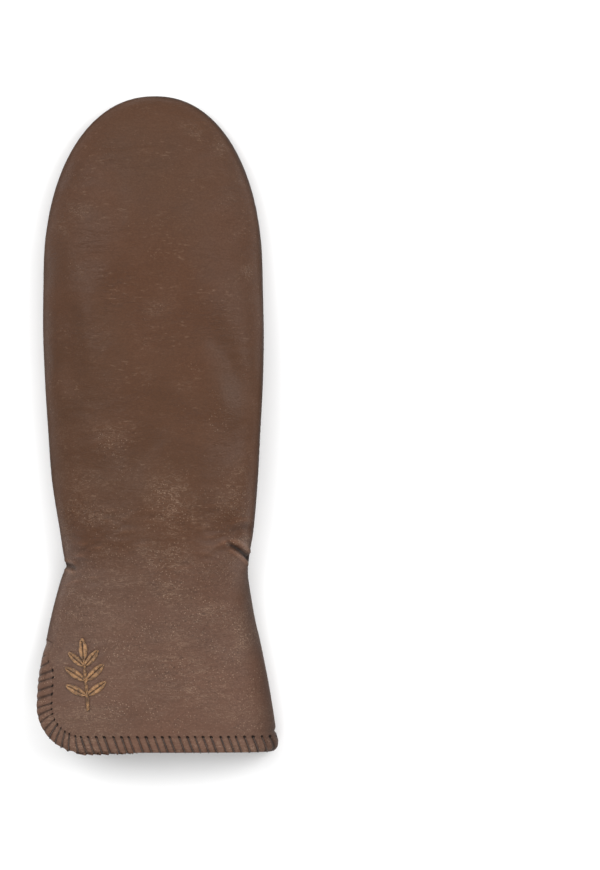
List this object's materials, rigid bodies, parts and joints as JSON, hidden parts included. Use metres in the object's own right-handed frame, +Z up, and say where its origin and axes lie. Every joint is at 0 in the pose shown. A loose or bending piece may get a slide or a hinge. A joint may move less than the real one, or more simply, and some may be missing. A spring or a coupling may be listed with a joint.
{
  "type": "embroidered leather mitten",
  "caption": "Lined leather mitten for the left hand with a gathered wrist, a flared cuff slit at the side and a small embroidered leaf sprig.",
  "frame": {"origin": "middle of the bounding box's underside, on the surface that the mitten lies on", "axes": "+Y from the cuff to the fingertip, +X to the thumb's side, +Z up out of the back of the hand; the palm lies on the surface"},
  "size_m": [0.103, 0.28, 0.0336],
  "materials": {
    "leather_back": "smooth fine-grained brown leather",
    "leather_palm": "smooth fine-grained brown leather",
    "leather_thumb": "smooth fine-grained brown leather",
    "knit": "dark brushed knit",
    "thread": "tan satin stitch"
  },
  "bodies": {
    "root": {"back_panel": "leather_back", "palm_panel": "leather_palm", "thumb_stall": "leather_thumb", "knitted_lining": "knit", "embroidered_sprig": "thread"}
  },
  "joints": []
}
